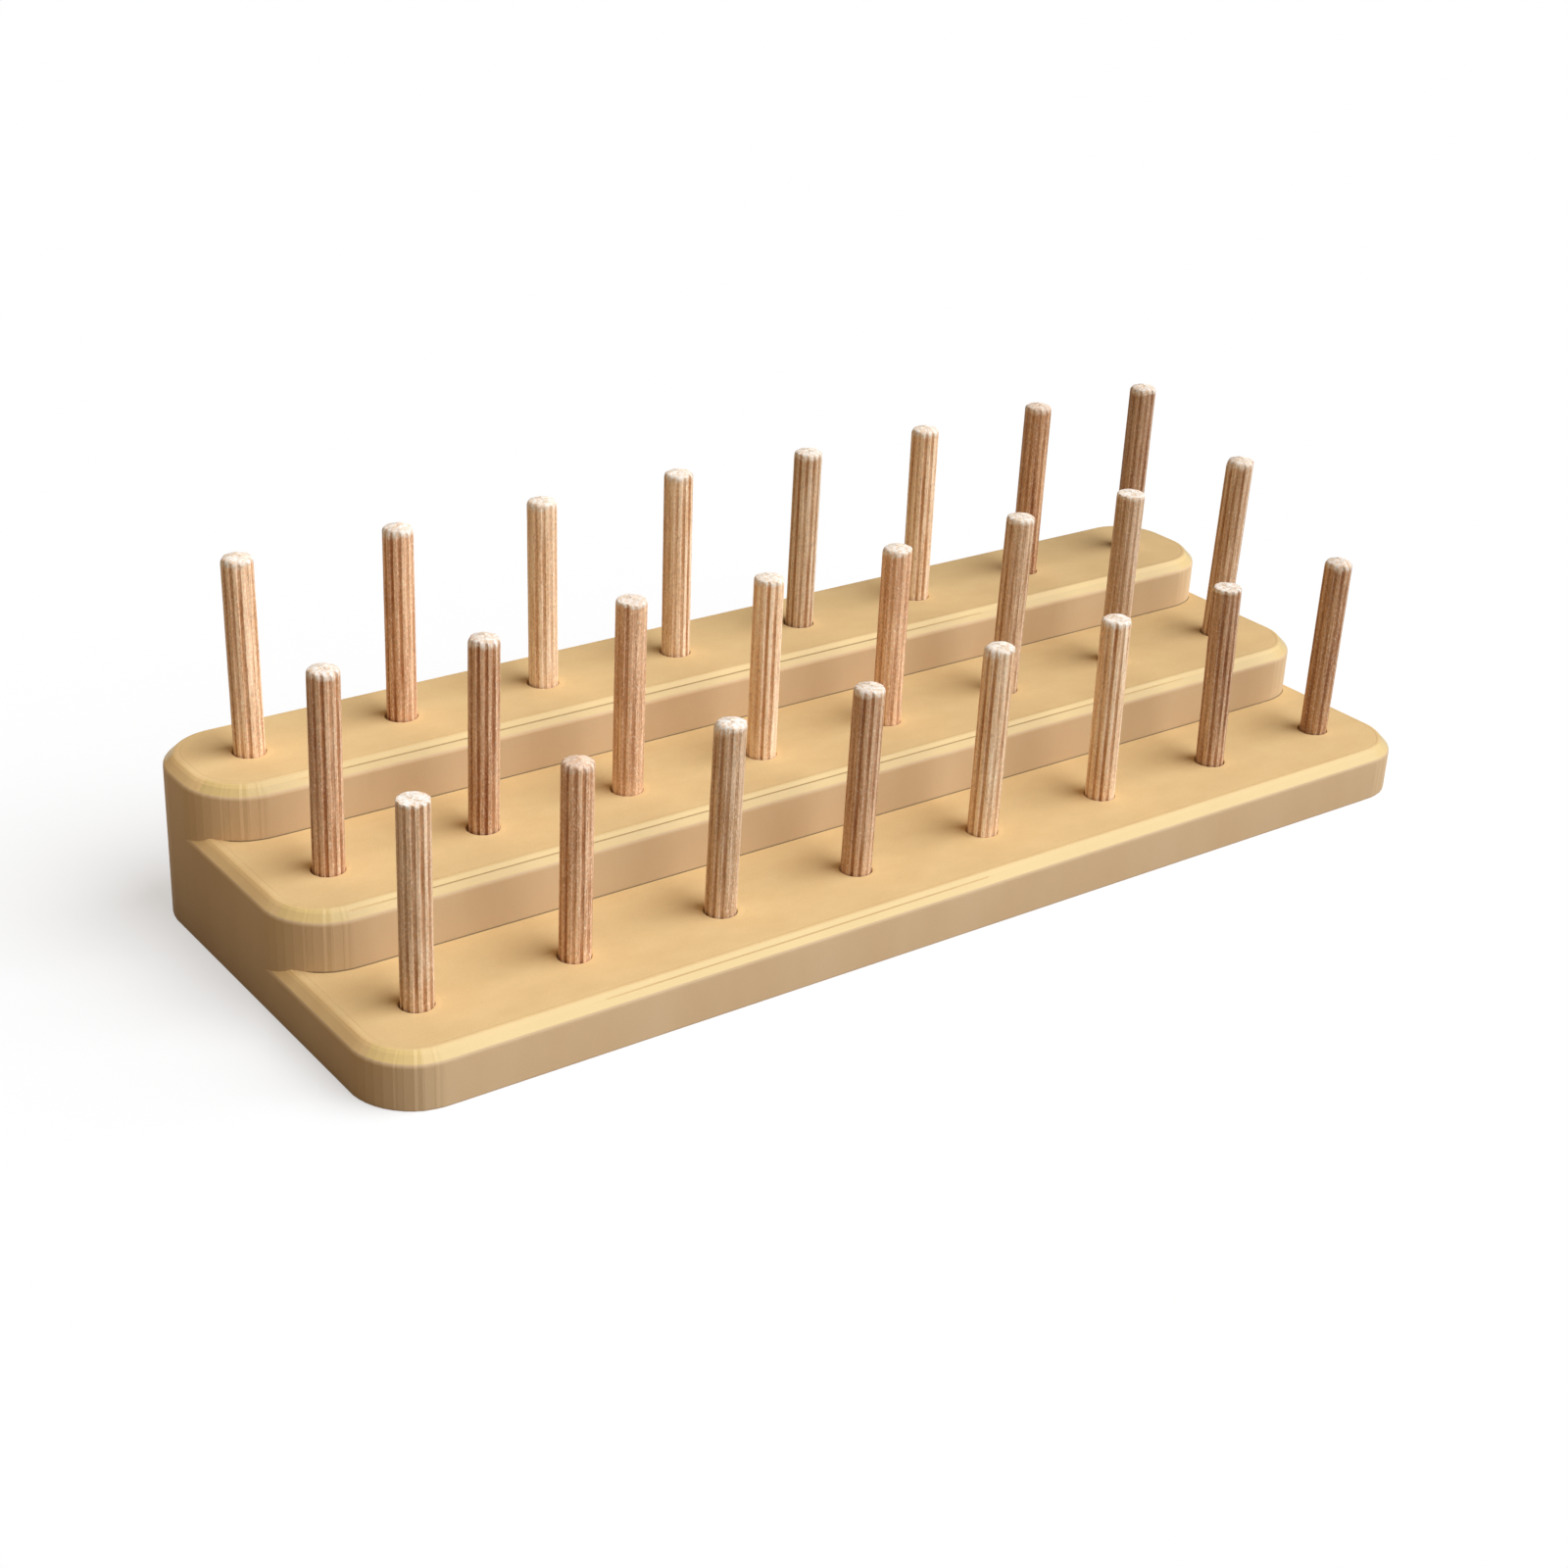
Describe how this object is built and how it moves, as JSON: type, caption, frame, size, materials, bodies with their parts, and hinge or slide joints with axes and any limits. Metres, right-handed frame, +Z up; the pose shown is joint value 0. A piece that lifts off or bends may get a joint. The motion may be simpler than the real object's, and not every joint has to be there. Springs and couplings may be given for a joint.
{
  "type": "spool thread stand",
  "caption": "Low stepped stand for sewing thread spools: a bevelled tan printed base with rows of loose fluted dowel pegs in blind sockets on each tread.",
  "frame": {"origin": "middle of the underside, on the table", "axes": "+X along the treads to the right, +Y from the low front tread to the high back one, +Z up along the pegs"},
  "size_m": [0.253, 0.095, 0.0725],
  "materials": {
    "printed_base": "satin, printed in layers",
    "beech_dowel": "raw, fluted"
  },
  "bodies": {
    "stand": {"base": "printed_base"},
    "peg_front_1": {"peg_front_1": "beech_dowel"},
    "peg_front_2": {"peg_front_2": "beech_dowel"},
    "peg_front_3": {"peg_front_3": "beech_dowel"},
    "peg_front_4": {"peg_front_4": "beech_dowel"},
    "peg_front_5": {"peg_front_5": "beech_dowel"},
    "peg_front_6": {"peg_front_6": "beech_dowel"},
    "peg_front_7": {"peg_front_7": "beech_dowel"},
    "peg_front_8": {"peg_front_8": "beech_dowel"},
    "peg_middle_1": {"peg_middle_1": "beech_dowel"},
    "peg_middle_2": {"peg_middle_2": "beech_dowel"},
    "peg_middle_3": {"peg_middle_3": "beech_dowel"},
    "peg_middle_4": {"peg_middle_4": "beech_dowel"},
    "peg_middle_5": {"peg_middle_5": "beech_dowel"},
    "peg_middle_6": {"peg_middle_6": "beech_dowel"},
    "peg_middle_7": {"peg_middle_7": "beech_dowel"},
    "peg_middle_8": {"peg_middle_8": "beech_dowel"},
    "peg_back_1": {"peg_back_1": "beech_dowel"},
    "peg_back_2": {"peg_back_2": "beech_dowel"},
    "peg_back_3": {"peg_back_3": "beech_dowel"},
    "peg_back_4": {"peg_back_4": "beech_dowel"},
    "peg_back_5": {"peg_back_5": "beech_dowel"},
    "peg_back_6": {"peg_back_6": "beech_dowel"},
    "peg_back_7": {"peg_back_7": "beech_dowel"},
    "peg_back_8": {"peg_back_8": "beech_dowel"}
  },
  "joints": [
    {"name": "peg_front_1_lift", "type": "slide", "parent": "stand", "child": "peg_front_1", "axis": [0, 0, 1], "range_m": [0, 0.012]},
    {"name": "peg_front_2_lift", "type": "slide", "parent": "stand", "child": "peg_front_2", "axis": [0, 0, 1], "range_m": [0, 0.012]},
    {"name": "peg_front_3_lift", "type": "slide", "parent": "stand", "child": "peg_front_3", "axis": [0, 0, 1], "range_m": [0, 0.012]},
    {"name": "peg_front_4_lift", "type": "slide", "parent": "stand", "child": "peg_front_4", "axis": [0, 0, 1], "range_m": [0, 0.012]},
    {"name": "peg_front_5_lift", "type": "slide", "parent": "stand", "child": "peg_front_5", "axis": [0, 0, 1], "range_m": [0, 0.012]},
    {"name": "peg_front_6_lift", "type": "slide", "parent": "stand", "child": "peg_front_6", "axis": [0, 0, 1], "range_m": [0, 0.012]},
    {"name": "peg_front_7_lift", "type": "slide", "parent": "stand", "child": "peg_front_7", "axis": [0, 0, 1], "range_m": [0, 0.012]},
    {"name": "peg_front_8_lift", "type": "slide", "parent": "stand", "child": "peg_front_8", "axis": [0, 0, 1], "range_m": [0, 0.012]},
    {"name": "peg_middle_1_lift", "type": "slide", "parent": "stand", "child": "peg_middle_1", "axis": [0, 0, 1], "range_m": [0, 0.012]},
    {"name": "peg_middle_2_lift", "type": "slide", "parent": "stand", "child": "peg_middle_2", "axis": [0, 0, 1], "range_m": [0, 0.012]},
    {"name": "peg_middle_3_lift", "type": "slide", "parent": "stand", "child": "peg_middle_3", "axis": [0, 0, 1], "range_m": [0, 0.012]},
    {"name": "peg_middle_4_lift", "type": "slide", "parent": "stand", "child": "peg_middle_4", "axis": [0, 0, 1], "range_m": [0, 0.012]},
    {"name": "peg_middle_5_lift", "type": "slide", "parent": "stand", "child": "peg_middle_5", "axis": [0, 0, 1], "range_m": [0, 0.012]},
    {"name": "peg_middle_6_lift", "type": "slide", "parent": "stand", "child": "peg_middle_6", "axis": [0, 0, 1], "range_m": [0, 0.012]},
    {"name": "peg_middle_7_lift", "type": "slide", "parent": "stand", "child": "peg_middle_7", "axis": [0, 0, 1], "range_m": [0, 0.012]},
    {"name": "peg_middle_8_lift", "type": "slide", "parent": "stand", "child": "peg_middle_8", "axis": [0, 0, 1], "range_m": [0, 0.012]},
    {"name": "peg_back_1_lift", "type": "slide", "parent": "stand", "child": "peg_back_1", "axis": [0, 0, 1], "range_m": [0, 0.012]},
    {"name": "peg_back_2_lift", "type": "slide", "parent": "stand", "child": "peg_back_2", "axis": [0, 0, 1], "range_m": [0, 0.012]},
    {"name": "peg_back_3_lift", "type": "slide", "parent": "stand", "child": "peg_back_3", "axis": [0, 0, 1], "range_m": [0, 0.012]},
    {"name": "peg_back_4_lift", "type": "slide", "parent": "stand", "child": "peg_back_4", "axis": [0, 0, 1], "range_m": [0, 0.012]},
    {"name": "peg_back_5_lift", "type": "slide", "parent": "stand", "child": "peg_back_5", "axis": [0, 0, 1], "range_m": [0, 0.012]},
    {"name": "peg_back_6_lift", "type": "slide", "parent": "stand", "child": "peg_back_6", "axis": [0, 0, 1], "range_m": [0, 0.012]},
    {"name": "peg_back_7_lift", "type": "slide", "parent": "stand", "child": "peg_back_7", "axis": [0, 0, 1], "range_m": [0, 0.012]},
    {"name": "peg_back_8_lift", "type": "slide", "parent": "stand", "child": "peg_back_8", "axis": [0, 0, 1], "range_m": [0, 0.012]}
  ]
}
